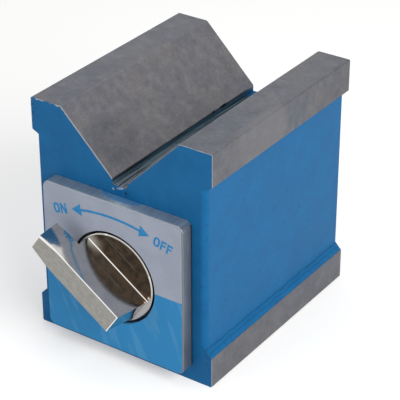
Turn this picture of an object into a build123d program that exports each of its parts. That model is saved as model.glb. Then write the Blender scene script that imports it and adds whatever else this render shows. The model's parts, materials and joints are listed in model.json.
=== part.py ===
from build123d import *
from math import cos, radians, sin, sqrt, tan
import os

# A V block with a turning magnet inside. Millimetres, X across the V, Y along it, Z up.
# The knob faces -Y. The origin is the middle of the block's base.

# Block
block_width = 60.0
block_length = 70.0
foot_height = 9.45
lip_height = 9.7
side_recess = 2.0              # the painted waist is set in this far from foot and lip
shoulder_rise = 2.1            # height of the slope from the waist out to foot and lip
waist_edge_radius = 1.8
edge_break = 0.3

# V groove and the slot at its foot
groove_width = 38.9            # across the top
groove_angle = 90.0
slot_width = 5.2
slot_depth = 1.9

# Bore and switch axis
bore_radius = 15.0
wall_below_bore = 12.7
web_above_bore = 11.55         # up to the floor of the slot
running_clearance = 0.05       # radial, between a journal and its bush
air_gap = 0.3                  # radial, between the rotor and the bore
end_float = 0.25
fit_clearance = 0.03           # between a piece and the seat that it is pressed into

# Front plate and its label
plate_base_gap = 4.1           # from the base up to the plate
plate_thickness = 4.5
plate_corner_radius = 2.2
plate_edge_break = 0.35
recess_radius = 14.2
recess_depth = 3.0
screw_inset = 5.1              # from the plate's edges to a screw
label_thickness = 0.15
label_margin = 0.35            # plate left bare around the label
label_hole_margin = 0.15

# Plate screws
screw_diameter = 4.0
screw_head_diameter = 7.6
screw_length = 12.0
screw_socket_width = 2.5
screw_socket_depth = 1.4
screw_tip_gap = 1.0            # thread left below a screw's tip
countersink_angle = 90.0       # of all the screws

# Knob
knob_gap = 0.7                 # around the disc
knob_floor_gap = 0.2           # behind the disc
knob_stands_out = 0.2          # disc face in front of the plate
disc_edge_break = 0.35
neck_inset = 0.6               # the pointer leaves the disc this far inside its rim
bar_height = 11.8              # above the disc face
bar_width = 8.1                # at the disc
bar_draft = 0.43               # the flanks and the pointer's end lean in this far
bar_edge_break = 0.25
bar_foot_radius = 0.4          # where the bar rises out of the disc
pointer_reach = 21.1           # from the axis, at the disc
nose_margin = 0.1              # from there out to where the flanks start to curve in
nose_narrowing = 0.85          # of each flank at the pointer's end
facet_width = 0.5              # slim corners cut off beside the pointer's front face
facet_depth = 0.5
facet_angle = 9.0              # in plan
tail_margin = 0.4              # the tail's corners are this far inside the neck's radius
tail_draft = 1.6
overhang_clearance = 4.1       # from the disc face to the underside of the pointer
on_angle = 145.5               # of the pointer from +X, seen from the front
switch_travel = 90.0

# Stop pin and its slot
stop_pin_diameter = 2.8
stop_pin_inset = 3.5           # from the disc's rim to the middle of the pin
stop_pin_seat = 1.6            # length inside the knob
stop_clearance = 0.1           # around the pin and behind it

# Spindle, its screw and the trunnion at the other end
journal_diameter = 8.0
knob_square = 5.0
knob_square_depth = 7.0        # length inside the knob
rotor_square = 7.0
knob_screw_diameter = 3.0
knob_screw_head_diameter = 5.6
knob_screw_grip = 4.0          # thread inside the knob
knob_screw_socket_width = 2.0
knob_screw_socket_depth = 1.0
trunnion_reach = 2.5           # length inside the rear bush

# Bushes, washer and rear cap
bush_wall = 2.0
bush_flange = 1.55             # how far a flange stands out from its barrel
bush_flange_thickness = 1.0
washer_thickness = 0.5
washer_bore_gap = 0.3          # around the trunnion
rear_cap_shoulder = 1.5        # the cap's seat is this much wider than the bore
rear_cap_thickness = 4.0
rear_bush_depth = 3.0

# Rotor
rotor_cap_thickness = 4.0
magnet_thickness = 12.0
magnet_inset = 0.9             # from a magnet's narrow face to the rotor's round
rivet_diameter = 3.0
rivet_spacing = 9.0            # between the two rivets of a segment

overrun = 1.0                  # cuts go this far past the faces that they open

# Block: lines of the end profile, whose height follows from the bore and the V
half_width = block_width / 2
half_length = block_length / 2
axis_height = wall_below_bore + bore_radius
slot_floor = axis_height + bore_radius + web_above_bore
groove_foot = slot_floor + slot_depth
groove_fall = (groove_width - slot_width) / 2 / tan(radians(groove_angle / 2))
block_height = groove_foot + groove_fall
waist_x = half_width - side_recess
waist_bottom = foot_height + shoulder_rise
lip_bottom = block_height - lip_height
waist_top = lip_bottom - shoulder_rise
slope_x = waist_x - waist_edge_radius
slope_rise = waist_edge_radius * shoulder_rise / side_recess

# Plate and knob: faces along the switch axis, from the front to the back
plate_size = 2 * (axis_height - plate_base_gap)
screw_spacing = plate_size - 2 * screw_inset
plate_face = -half_length - plate_thickness
recess_floor = plate_face + recess_depth
disc_face = plate_face - knob_stands_out
disc_back = recess_floor - knob_floor_gap
disc_radius = recess_radius - knob_gap
neck_radius = disc_radius - neck_inset
tail_reach = sqrt((neck_radius - tail_margin) ** 2 - (bar_width / 2) ** 2)
nose_start = neck_radius + nose_margin
nose_half = bar_width / 2 - nose_narrowing
stop_pin_orbit = disc_radius - stop_pin_inset
spindle_tip = disc_back - knob_square_depth
knob_screw_tip = spindle_tip - knob_screw_grip
stop_pin_tip = -half_length - stop_clearance
slot_clear_width = stop_pin_diameter + 2 * stop_clearance

# Bearings
journal_radius = journal_diameter / 2
bush_bore = journal_radius + running_clearance
bush_radius = bush_bore + bush_wall
flange_radius = bush_radius + bush_flange
rear_cap_radius = bore_radius + rear_cap_shoulder
rear_cap_face = half_length - rear_cap_thickness
rear_flange_face = rear_cap_face - bush_flange_thickness

# Rotor, between the two flanges
rotor_front = -half_length + bush_flange_thickness + end_float
rotor_rear = rear_flange_face - washer_thickness - end_float
core_front = rotor_front + rotor_cap_thickness
core_rear = rotor_rear - rotor_cap_thickness
magnet_length = (core_rear - core_front) / 2
rotor_radius = bore_radius - air_gap
magnet_half = magnet_thickness / 2
magnet_width = 2 * (sqrt(rotor_radius**2 - magnet_half**2) - magnet_inset)
rivet_offset = (magnet_half + rotor_radius) / 2

end_plane = Plane(origin=(0, half_length, 0), x_dir=(1, 0, 0), z_dir=(0, -1, 0))


def facing(y):
    """Upright plane at y that looks out of the front, with its centre on the switch axis."""
    return Plane(origin=(0, y, axis_height), x_dir=(1, 0, 0), z_dir=(0, -1, 0))


def turned(y):
    """The same plane, turned so that its own X points along the knob's pointer at ON."""
    pointer = Vector(1, 0, 0).rotate(Axis.Y, -on_angle)
    return Plane(origin=(0, y, axis_height), x_dir=pointer, z_dir=(0, -1, 0))


def shaft(radius, front, rear, mode=Mode.ADD):
    """Round piece on the switch axis from front to rear, or a bore with mode SUBTRACT."""
    with Locations(facing(rear)):
        Cylinder(radius, rear - front, align=(Align.CENTER, Align.CENTER, Align.MIN), mode=mode)


def bore(radius, front, rear):
    """Round hole on the switch axis that is open at both ends."""
    shaft(radius, front - overrun, rear + overrun, mode=Mode.SUBTRACT)


def pocket(radius, front, rear):
    """Round hole on the switch axis between two faces, with no overrun."""
    shaft(radius, front, rear, mode=Mode.SUBTRACT)


def cut_bore_and_cap_seat():
    """The bore through the block, and the wider seat of the cap at its back end."""
    bore(bore_radius, -half_length, half_length)
    pocket(rear_cap_radius, rear_cap_face, half_length + overrun)


def countersunk_screw(diameter, head_diameter, length, socket_width, socket_depth):
    """Screw with the face of its head at the origin, pointing down Z, with a hexagon socket."""
    head_height = (head_diameter - diameter) / 2 / tan(radians(countersink_angle / 2))
    with BuildPart() as screw:
        with BuildSketch(Plane.XZ):
            with BuildLine():
                Polyline(
                    (0, 0),
                    (head_diameter / 2, 0),
                    (diameter / 2, -head_height),
                    (diameter / 2, -length),
                    (0, -length),
                    close=True,
                )
            make_face()
        revolve(axis=Axis.Z)
        with BuildSketch():
            RegularPolygon(socket_width / 2, 6, major_radius=False)
        extrude(amount=-socket_depth, mode=Mode.SUBTRACT)
    return screw.part


# Poles: the waist with its rounded upright corners, then foot and lip with crisp ones
with BuildPart() as left_pole:
    with BuildSketch(end_plane):
        with BuildLine():
            Polyline(
                (-slot_width / 2, 0),
                (-waist_x, 0),
                (-waist_x, block_height),
                (-groove_width / 2, block_height),
                (-slot_width / 2, groove_foot),
                close=True,
            )
        make_face()
    extrude(amount=block_length)
    waist_face = left_pole.faces().sort_by(Axis.X)[0]
    fillet(waist_face.edges().filter_by(Axis.Z), waist_edge_radius)
    # Their slopes run on inwards to where the rounded corners end
    with BuildSketch(end_plane):
        with BuildLine():
            Polyline(
                (-slot_width / 2, 0),
                (-half_width, 0),
                (-half_width, foot_height),
                (-slope_x, waist_bottom + slope_rise),
                (-slot_width / 2, waist_bottom + slope_rise),
                close=True,
            )
        make_face()
        with BuildLine():
            Polyline(
                (-groove_width / 2, block_height),
                (-half_width, block_height),
                (-half_width, lip_bottom),
                (-slope_x, waist_top - slope_rise),
                (-groove_width / 2, waist_top - slope_rise),
                close=True,
            )
        make_face()
    extrude(amount=block_length)
    # The long edges of the ground faces are broken, at the top and along the base
    long_edges = left_pole.edges().filter_by(Axis.Y).group_by(Axis.Z)
    chamfer(long_edges[-1] + long_edges[0].sort_by(Axis.X)[:1], edge_break)
    cut_bore_and_cap_seat()
    with Locations(facing(-half_length)):
        with GridLocations(screw_spacing, screw_spacing, 2, 2):
            Hole(screw_diameter / 2 + fit_clearance, screw_length - plate_thickness + screw_tip_gap)

with BuildPart() as right_pole:
    mirror(left_pole.part, about=Plane.YZ)


# Spacers: the strips between the poles, above and below the bore
with BuildPart() as upper_spacer:
    with BuildSketch(end_plane):
        with Locations((0, axis_height)):
            Rectangle(slot_width, slot_floor - axis_height, align=(Align.CENTER, Align.MIN))
    extrude(amount=block_length)
    cut_bore_and_cap_seat()

with BuildPart() as lower_spacer:
    with BuildSketch(end_plane):
        Rectangle(slot_width, axis_height, align=(Align.CENTER, Align.MIN))
    extrude(amount=block_length)
    cut_bore_and_cap_seat()


# Front plate: round recess for the knob, bush hole, quarter-turn slot for the stop pin
stop_arc = CenterArc((0, 0), stop_pin_orbit, 180, -switch_travel)

with BuildPart() as front_plate:
    with BuildSketch(facing(-half_length)):
        RectangleRounded(plate_size, plate_size, plate_corner_radius)
    extrude(amount=plate_thickness)
    chamfer(front_plate.faces().sort_by(Axis.Y)[0].edges(), plate_edge_break)
    pocket(recess_radius, plate_face - overrun, recess_floor)
    bore(bush_radius, recess_floor, -half_length)
    with BuildSketch(turned(-half_length)):
        SlotArc(stop_arc, slot_clear_width)
    extrude(amount=plate_thickness, mode=Mode.SUBTRACT)
    with Locations(facing(plate_face)):
        with GridLocations(screw_spacing, screw_spacing, 2, 2):
            CounterSinkHole(
                screw_diameter / 2 + fit_clearance,
                screw_head_diameter / 2 + fit_clearance,
                counter_sink_angle=countersink_angle,
            )

with BuildPart() as label:
    label_size = plate_size - 2 * label_margin
    with BuildSketch(facing(plate_face)):
        RectangleRounded(label_size, label_size, plate_corner_radius - label_margin)
        Circle(recess_radius + label_hole_margin, mode=Mode.SUBTRACT)
    extrude(amount=label_thickness)

plate_screw = countersunk_screw(
    screw_diameter, screw_head_diameter, screw_length, screw_socket_width, screw_socket_depth
)
with BuildPart() as plate_screws:
    with Locations(facing(plate_face)):
        with GridLocations(screw_spacing, screw_spacing, 2, 2):
            add(plate_screw)


# Bearings of the switch, and the cap that closes the bore at the back
with BuildPart() as front_bush:
    shaft(flange_radius, -half_length, -half_length + bush_flange_thickness)
    shaft(bush_radius - fit_clearance, recess_floor, -half_length)
    bore(bush_bore, recess_floor, -half_length + bush_flange_thickness)

with BuildPart() as rear_cap:
    shaft(rear_cap_radius - fit_clearance, rear_cap_face, half_length)
    pocket(bush_radius, rear_cap_face, rear_cap_face + rear_bush_depth)

with BuildPart() as rear_bush:
    shaft(flange_radius, rear_flange_face, rear_cap_face)
    shaft(bush_radius - fit_clearance, rear_cap_face, rear_cap_face + rear_bush_depth)
    bore(bush_bore, rear_flange_face, rear_cap_face + rear_bush_depth)

with BuildPart() as thrust_washer:
    shaft(flange_radius, rear_flange_face - washer_thickness, rear_flange_face)
    bore(journal_radius + washer_bore_gap, rear_flange_face - washer_thickness, rear_flange_face)


# Knob: disc in the plate's recess, draughted bar across it, pointer that overhangs the plate
def bar_outline(lean, tail_lean):
    """Outline of the bar, whose flanks curve in past the disc towards the pointer's end."""
    half = bar_width / 2 - lean
    with BuildSketch() as outline:
        with BuildLine():
            Line((-tail_reach + tail_lean, half), (nose_start, half))
            TangentArc((nose_start, half), (pointer_reach - lean, nose_half - lean), tangent=(1, 0))
            Line((pointer_reach - lean, nose_half - lean), (pointer_reach - lean, lean - nose_half))
            TangentArc((nose_start, -half), (pointer_reach - lean, lean - nose_half), tangent=(1, 0))
            Line((nose_start, -half), (-tail_reach + tail_lean, -half))
            Line((-tail_reach + tail_lean, -half), (-tail_reach + tail_lean, half))
        make_face()
    return outline.sketch


with BuildPart() as knob_disc:
    shaft(disc_radius, disc_face, disc_back)
    chamfer(knob_disc.edges().sort_by(Axis.Y)[0], disc_edge_break)

with BuildPart() as knob:
    # The bar's flanks and ends lean in as it rises
    with BuildSketch(turned(disc_face)):
        add(bar_outline(0, 0))
    with BuildSketch(turned(disc_face - bar_height)):
        add(bar_outline(bar_draft, tail_draft))
    loft(ruled=True)
    chamfer(knob.faces().sort_by(Axis.Y)[0].edges(), bar_edge_break)
    # Two slim corners come off beside the pointer's front face
    for side in (1, -1):
        corner = Vector(pointer_reach - bar_draft, side * (nose_half - bar_draft), bar_height)
        along = Vector(cos(radians(facet_angle)), -side * sin(radians(facet_angle)), 0)
        down = Vector(0, side * facet_width, -facet_depth)
        inner = corner - Vector(0, side * facet_width, 0)
        facet = Plane(origin=inner, z_dir=along.cross(down) * side)
        split(bisect_by=Plane(turned(disc_face).location * facet.location), keep=Keep.BOTTOM)
    # Outside the disc the bar stands clear of the plate
    with BuildSketch(turned(disc_face)):
        Circle(2 * pointer_reach)
        Circle(neck_radius, mode=Mode.SUBTRACT)
    extrude(amount=overhang_clearance, mode=Mode.SUBTRACT)
    add(knob_disc.part)
    foot_edges = knob.edges().filter_by_position(Axis.Y, disc_face, disc_face)
    fillet(foot_edges.filter_by(GeomType.LINE), bar_foot_radius)
    # Square socket for the spindle, pilot hole for its screw, seat of the stop pin
    with BuildSketch(turned(disc_back)):
        Rectangle(knob_square + 2 * fit_clearance, knob_square + 2 * fit_clearance)
    extrude(amount=knob_square_depth + fit_clearance, mode=Mode.SUBTRACT)
    pocket(knob_screw_diameter / 2 + fit_clearance, knob_screw_tip - fit_clearance, disc_back)
    with BuildSketch(turned(disc_back)):
        with Locations((-stop_pin_orbit, 0)):
            Circle(stop_pin_diameter / 2 + fit_clearance)
    extrude(amount=stop_pin_seat, mode=Mode.SUBTRACT)

with BuildPart() as stop_pin:
    with BuildSketch(turned(stop_pin_tip)):
        with Locations((-stop_pin_orbit, 0)):
            Circle(stop_pin_diameter / 2)
    extrude(amount=stop_pin_tip - disc_back + stop_pin_seat)


# Spindle: square in the knob, round in the bush, square in the rotor's front cap
with BuildPart() as spindle:
    shaft(journal_radius, disc_back, rotor_front)
    with BuildSketch(turned(disc_back)):
        Rectangle(knob_square, knob_square)
    extrude(amount=knob_square_depth)
    with BuildSketch(turned(core_front)):
        Rectangle(rotor_square, rotor_square)
    extrude(amount=rotor_cap_thickness)
    with Locations(-facing(core_front)):
        CounterSinkHole(
            knob_screw_diameter / 2 + fit_clearance,
            knob_screw_head_diameter / 2 + fit_clearance,
            counter_sink_angle=countersink_angle,
        )

with BuildPart() as knob_screw:
    with Locations(-facing(core_front)):
        add(
            countersunk_screw(
                knob_screw_diameter,
                knob_screw_head_diameter,
                core_front - knob_screw_tip,
                knob_screw_socket_width,
                knob_screw_socket_depth,
            )
        )

with BuildPart() as rear_trunnion:
    shaft(journal_radius, core_rear, rear_cap_face + trunnion_reach)


# Rotor: two magnets between two iron segments, held by riveted caps
with BuildPart() as left_segment:
    with BuildSketch(facing(core_rear)):
        Circle(rotor_radius)
        with Locations((-magnet_half, 0)):
            Rectangle(
                2 * rotor_radius, 2 * rotor_radius, align=(Align.MIN, Align.CENTER), mode=Mode.SUBTRACT
            )
        with Locations((-rivet_offset, rivet_spacing / 2), (-rivet_offset, -rivet_spacing / 2)):
            Circle(rivet_diameter / 2 + fit_clearance, mode=Mode.SUBTRACT)
    extrude(amount=core_rear - core_front)

with BuildPart() as right_segment:
    mirror(left_segment.part, about=Plane.YZ)

with BuildPart() as rotor_front_cap:
    shaft(rotor_radius, rotor_front, core_front)
    with Locations(facing(rotor_front)):
        with GridLocations(2 * rivet_offset, rivet_spacing, 2, 2):
            Hole(rivet_diameter / 2 + fit_clearance)
    with BuildSketch(turned(core_front)):
        Rectangle(rotor_square + 2 * fit_clearance, rotor_square + 2 * fit_clearance)
    extrude(amount=rotor_cap_thickness, mode=Mode.SUBTRACT)

with BuildPart() as rotor_rear_cap:
    shaft(rotor_radius, core_rear, rotor_rear)
    with Locations(facing(core_rear)):
        with GridLocations(2 * rivet_offset, rivet_spacing, 2, 2):
            Hole(rivet_diameter / 2 + fit_clearance)
    bore(journal_radius + fit_clearance, core_rear, rotor_rear)

with BuildPart() as rotor_rivets:
    with BuildSketch(facing(rotor_rear)):
        with GridLocations(2 * rivet_offset, rivet_spacing, 2, 2):
            Circle(rivet_diameter / 2)
    extrude(amount=rotor_rear - rotor_front)

with BuildPart() as front_magnet:
    with BuildSketch(facing(core_front + magnet_length)):
        Rectangle(magnet_thickness, magnet_width)
    extrude(amount=magnet_length)

with BuildPart() as rear_magnet:
    with BuildSketch(facing(core_rear)):
        Rectangle(magnet_thickness, magnet_width)
    extrude(amount=magnet_length)


pieces = {
    "left_pole": left_pole,
    "right_pole": right_pole,
    "upper_spacer": upper_spacer,
    "lower_spacer": lower_spacer,
    "front_plate": front_plate,
    "label": label,
    "plate_screws": plate_screws,
    "front_bush": front_bush,
    "rear_cap": rear_cap,
    "rear_bush": rear_bush,
    "thrust_washer": thrust_washer,
    "knob": knob,
    "knob_screw": knob_screw,
    "stop_pin": stop_pin,
    "spindle": spindle,
    "rotor_front_cap": rotor_front_cap,
    "rotor_rear_cap": rotor_rear_cap,
    "left_segment": left_segment,
    "right_segment": right_segment,
    "front_magnet": front_magnet,
    "rear_magnet": rear_magnet,
    "rotor_rivets": rotor_rivets,
    "rear_trunnion": rear_trunnion,
}

os.makedirs("parts", exist_ok=True)
for name, piece in pieces.items():
    piece.part.label = name
    export_step(piece.part, f"parts/{name}.step")
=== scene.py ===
import bmesh
import bpy
import json
from math import cos, hypot, pi, radians, sin
from mathutils import Matrix, Vector

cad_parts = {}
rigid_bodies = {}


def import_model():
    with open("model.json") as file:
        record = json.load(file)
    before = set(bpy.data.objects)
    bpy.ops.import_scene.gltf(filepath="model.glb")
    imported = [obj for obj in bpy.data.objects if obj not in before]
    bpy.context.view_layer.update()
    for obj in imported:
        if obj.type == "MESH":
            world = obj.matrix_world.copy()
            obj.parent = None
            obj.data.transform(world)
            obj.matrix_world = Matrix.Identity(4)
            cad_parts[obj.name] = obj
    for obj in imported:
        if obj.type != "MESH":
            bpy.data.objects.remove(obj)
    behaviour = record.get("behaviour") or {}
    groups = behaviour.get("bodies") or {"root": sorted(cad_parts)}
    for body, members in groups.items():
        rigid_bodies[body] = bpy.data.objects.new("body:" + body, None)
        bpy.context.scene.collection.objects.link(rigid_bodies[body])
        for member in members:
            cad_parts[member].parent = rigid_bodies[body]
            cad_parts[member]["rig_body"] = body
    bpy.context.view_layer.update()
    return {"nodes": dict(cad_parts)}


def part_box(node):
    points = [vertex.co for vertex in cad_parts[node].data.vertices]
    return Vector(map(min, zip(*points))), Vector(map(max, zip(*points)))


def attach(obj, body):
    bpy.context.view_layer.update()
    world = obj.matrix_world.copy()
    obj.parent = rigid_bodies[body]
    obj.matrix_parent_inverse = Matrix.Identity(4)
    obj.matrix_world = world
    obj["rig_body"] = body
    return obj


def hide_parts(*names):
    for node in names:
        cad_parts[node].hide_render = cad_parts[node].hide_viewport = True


# A V block with a turning magnet: blue painted iron with ground faces, a labelled plate, a plated knob.
# The frame is in metres, +Z up, the knob at -Y. Sizes in the dictionaries are in millimetres.
# A pair of distances gives where a mark begins and where it is full.

mm = 0.001
close = 0.01  # two places this near count as one
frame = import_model()
nodes = frame["nodes"]
print("frame loaded:", len(nodes), "nodes")

# Places read from the frame, in millimetres
poleLow, poleHigh = (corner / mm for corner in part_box("right_pole"))
plateLow, plateHigh = (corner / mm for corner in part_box("front_plate"))
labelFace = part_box("label")[0].y / mm
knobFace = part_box("knob")[0].y / mm
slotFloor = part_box("upper_spacer")[1].z / mm
halfWidth = poleHigh.x
halfSlot = poleLow.x
blockFront = poleLow.y
blockHeight = poleHigh.z
axisHeight = (plateLow.z + plateHigh.z) / 2
plateFace = plateLow.y
landPoints = [v.co / mm for v in nodes["right_pole"].data.vertices if v.co.z / mm > blockHeight - close]
grooveFoot = blockHeight - (min(p.x for p in landPoints) - halfSlot)  # the V's faces lean by 45 degrees


# Camera
camera = {
    "aim": (2.04, -0.05, 34.40),
    "azimuth": 34.59,  # degrees round from the front
    "elevation": 29.73,
    "roll": -0.09,
    "distance": 476.2,
    "lens": 147.83,
    "sensor": 36,
    "nearest": 10,
}


def placeCamera(c):
    around = radians(c["azimuth"])
    up = radians(c["elevation"])
    back = Vector((sin(around) * cos(up), -cos(around) * cos(up), sin(up)))
    right = Vector((cos(around), sin(around), 0))
    turn = Matrix.Rotation(radians(c["roll"]), 3, back)
    axes = turn @ Matrix((right, back.cross(right), back)).transposed()
    data = bpy.data.cameras.new("camera")
    data.lens = c["lens"]
    data.sensor_width = c["sensor"]
    data.clip_start = c["nearest"] * mm
    eye = bpy.data.objects.new("camera", data)
    there = (Vector(c["aim"]) + back * c["distance"]) * mm
    eye.matrix_world = Matrix.Translation(there) @ axes.to_4x4()
    bpy.context.scene.collection.objects.link(eye)
    bpy.context.scene.camera = eye


placeCamera(camera)
bpy.context.scene.view_settings.view_transform = "Standard"
print("camera placed")


# Shader nodes, one function for each use
def connect(tree, made, inputs):  # inputs are numbers, colours or sockets
    for name, value in inputs.items():
        if isinstance(value, bpy.types.NodeSocket):
            tree.links.new(value, made.inputs[name])
        else:
            made.inputs[name].default_value = value


def put(tree, kind, inputs=None, **settings):
    made = tree.nodes.new(kind)
    for name, value in settings.items():
        setattr(made, name, value)
    connect(tree, made, inputs or {})
    return made


def calc(tree, operation, *values):
    return put(tree, "ShaderNodeMath", dict(enumerate(values)), operation=operation).outputs[0]


def along(tree, operation, first, *others):  # one operation along a row of values
    for other in others:
        first = calc(tree, operation, first, other)
    return first


def times(tree, *values):
    return along(tree, "MULTIPLY", *values)


def apart(tree, value, other):  # the distance between two values
    return calc(tree, "ABSOLUTE", calc(tree, "SUBTRACT", value, other))


def fade(tree, value, none, full):  # 0 at none, 1 at full, soft in between
    made = put(
        tree, "ShaderNodeMapRange", {"Value": value, "From Min": none, "From Max": full},
        interpolation_type="SMOOTHSTEP",
    )
    return made.outputs[0]


def fadeFrom(tree, value, start, pair):  # the same, with both distances counted from a start
    return fade(tree, value, start + pair[0], start + pair[1])


def tint(tree, factor, first, second, how="MIX"):  # mixes two colours
    made = put(
        tree, "ShaderNodeMix", {0: factor, 6: first, 7: second}, data_type="RGBA", blend_type=how,
    )
    return made.outputs[2]


def between(tree, factor, first, second):  # mixes two numbers
    return put(tree, "ShaderNodeMix", {0: factor, 2: first, 3: second}, data_type="FLOAT").outputs[0]


def split(tree, place):  # into x, y and z
    return put(tree, "ShaderNodeSeparateXYZ", {0: place}).outputs


def stretched(tree, place, across):  # the same place, with each axis scaled
    return put(tree, "ShaderNodeVectorMath", {0: place, 1: across}, operation="MULTIPLY").outputs[0]


def turnedBy(tree, place, degrees, centre=(0, 0, 0)):  # turned about an axis from front to back
    made = put(
        tree, "ShaderNodeVectorRotate", {0: place, "Center": centre, "Angle": radians(degrees)},
        rotation_type="Y_AXIS",
    )
    return made.outputs[0]


def noise(tree, place, scale, detail=2.0, roughness=0.5):
    made = put(
        tree, "ShaderNodeTexNoise",
        {"Vector": place, "Scale": scale, "Detail": detail, "Roughness": roughness},
    )
    return made.outputs["Fac"]


def mark(tree, place, centre, reach):  # soft ellipse round a point: 1 in its middle
    away = put(tree, "ShaderNodeVectorMath", {0: place, 1: centre}, operation="SUBTRACT").outputs[0]
    away = put(tree, "ShaderNodeVectorMath", {0: away, 1: reach}, operation="DIVIDE").outputs[0]
    length = put(tree, "ShaderNodeVectorMath", {0: away}, operation="LENGTH").outputs["Value"]
    return fade(tree, length, 1.0, 0.5)


def radius(tree, x, z):  # from the switch axis
    up = calc(tree, "SUBTRACT", z, axisHeight)
    return calc(tree, "SQRT", calc(tree, "ADD", times(tree, x, x), times(tree, up, up)))


def bumped(tree, height, strength, distance):
    made = put(
        tree, "ShaderNodeBump", {"Height": height, "Strength": strength, "Distance": distance * mm}
    )
    return made.outputs[0]


def rgb(red, green, blue):
    return (red, green, blue, 1)


def newMaterial(name):
    made = bpy.data.materials.new(name)
    made.use_nodes = True
    made.node_tree.nodes.clear()
    return made, made.node_tree


def surface(tree, inputs):  # the Principled shader and the output
    shader = put(tree, "ShaderNodeBsdfPrincipled", inputs)
    put(tree, "ShaderNodeOutputMaterial", {"Surface": shader.outputs[0]})


def whereIs(tree):  # the place on a piece in millimetres, and its parts
    there = put(tree, "ShaderNodeTexCoord").outputs["Object"]
    place = put(tree, "ShaderNodeVectorMath", {0: there, 3: 1 / mm}, operation="SCALE").outputs[0]
    x, y, z = split(tree, place)
    return {"place": place, "x": x, "y": y, "z": z, "across": calc(tree, "ABSOLUTE", x)}


def finishMesh(shape, name):
    mesh = bpy.data.meshes.new(name)
    shape.to_mesh(mesh)
    shape.free()
    made = bpy.data.objects.new(name, mesh)
    bpy.context.scene.collection.objects.link(made)
    return made


def coat(node, material):  # the CAD node keeps its own mesh
    nodes[node].data.materials.clear()
    nodes[node].data.materials.append(material)


# Light and floor
light = {
    "world": 0.4,
    "lamps": {
        "key": {"at": (600, -230, 400), "size": 500, "power": 4.85, "colour": (1.0, 0.985, 0.945)},
        "fill": {"at": (-380, -560, 260), "size": 500, "power": 0.95, "colour": (0.98, 0.99, 1.0)},
        "top": {"at": (-60, 120, 800), "size": 700, "power": 1.6, "colour": (1.0, 1.0, 1.0)},
    },
    "floor": {"colour": rgb(0.8, 0.8, 0.8), "rough": 0.9, "glow": 0.30, "size": 3000, "drop": 0.02},
}


def seenDirectly(tree):  # by the camera, in a reflection or through glass
    path = put(tree, "ShaderNodeLightPath").outputs
    return along(
        tree, "MAXIMUM", path["Is Camera Ray"], path["Is Glossy Ray"], path["Is Transmission Ray"],
    )


def makeWorld(dim):
    world = bpy.data.worlds.new("studio")
    world.use_nodes = True
    tree = world.node_tree
    tree.nodes.clear()
    strength = between(tree, seenDirectly(tree), dim, 1.0)
    back = put(tree, "ShaderNodeBackground", {"Color": rgb(1, 1, 1), "Strength": strength})
    put(tree, "ShaderNodeOutputWorld", {"Surface": back.outputs[0]})
    bpy.context.scene.world = world


def makeLamp(name, values):
    data = bpy.data.lights.new(name, "AREA")
    data.size = values["size"] * mm
    data.energy = values["power"]
    data.color = values["colour"]
    lamp = bpy.data.objects.new(name, data)
    lamp.location = Vector(values["at"]) * mm
    aim = Vector((0, 0, blockHeight / 2)) * mm - lamp.location
    lamp.rotation_euler = aim.to_track_quat("-Z", "Y").to_euler()
    bpy.context.scene.collection.objects.link(lamp)


def makeFloor(values):
    shape = bmesh.new()
    bmesh.ops.create_grid(shape, x_segments=1, y_segments=1, size=values["size"] * mm)
    bmesh.ops.translate(shape, verts=shape.verts, vec=(0, 0, -values["drop"] * mm))
    floor = finishMesh(shape, "floor")
    material, tree = newMaterial("paleFloor")
    surface(tree, {
        "Base Color": values["colour"],
        "Roughness": values["rough"],
        "Specular IOR Level": 0.0,
        "Emission Color": rgb(1, 1, 1),
        "Emission Strength": times(tree, seenDirectly(tree), values["glow"]),
    })
    floor.data.materials.append(material)


makeWorld(light["world"])
for name, values in light["lamps"].items():
    makeLamp(name, values)
makeFloor(light["floor"])
print("studio built")


# Effects that several materials share
def newGroup(name, inputs, outputs):
    group = bpy.data.node_groups.new(name, "ShaderNodeTree")
    for title, kind, value in inputs:
        socket = group.interface.new_socket(title, in_out="INPUT", socket_type=kind)
        if value is not None:
            socket.default_value = value
    for title in outputs:
        group.interface.new_socket(title, in_out="OUTPUT", socket_type="NodeSocketFloat")
    return group, group.nodes.new("NodeGroupInput").outputs, group.nodes.new("NodeGroupOutput")


def use(tree, group, **inputs):
    made = tree.nodes.new("ShaderNodeGroup")
    made.node_tree = group
    connect(tree, made, inputs)
    return made.outputs


def makeGrinding():  # fine lines of a ground face, short strokes over them and cloudy tone
    group, given, out = newGroup(
        "grinding",
        [
            ("Place", "NodeSocketVector", None),
            ("Lines", "NodeSocketVector", (0.06, 3.2, 0.06)),
            ("Cloud", "NodeSocketFloat", 0.09),
        ],
        ["Line", "Stroke", "Cloud"],
    )
    fine = stretched(group, given["Place"], given["Lines"])
    short = stretched(group, fine, (9.0, 0.8, 9.0))
    connect(group, out, {
        "Line": noise(group, fine, 1.0, 4.0, 0.65),
        "Stroke": noise(group, short, 1.0, 3.0, 0.7),
        "Cloud": noise(group, given["Place"], given["Cloud"], 3.0, 0.55),
    })
    return group


def makePaintSkin():  # orange peel, cloudy tone and small dark pits of thick paint on a casting
    group, given, out = newGroup(
        "paintSkin",
        [("Place", "NodeSocketVector", None), ("Pit Share", "NodeSocketFloat", 0.65)],
        ["Tone", "Pit", "Peel"],
    )
    place = given["Place"]
    dots = noise(group, stretched(group, place, (1.25, 1.25, 0.7)), 1.0, 1.0, 0.5)
    deep = calc(group, "SUBTRACT", dots, given["Pit Share"])
    connect(group, out, {
        "Tone": noise(group, place, 0.16, 4.0, 0.6),
        "Pit": fade(group, deep, 0.0, 0.07),
        "Peel": noise(group, place, 1.6, 2.0, 0.5),
    })
    return group


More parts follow.
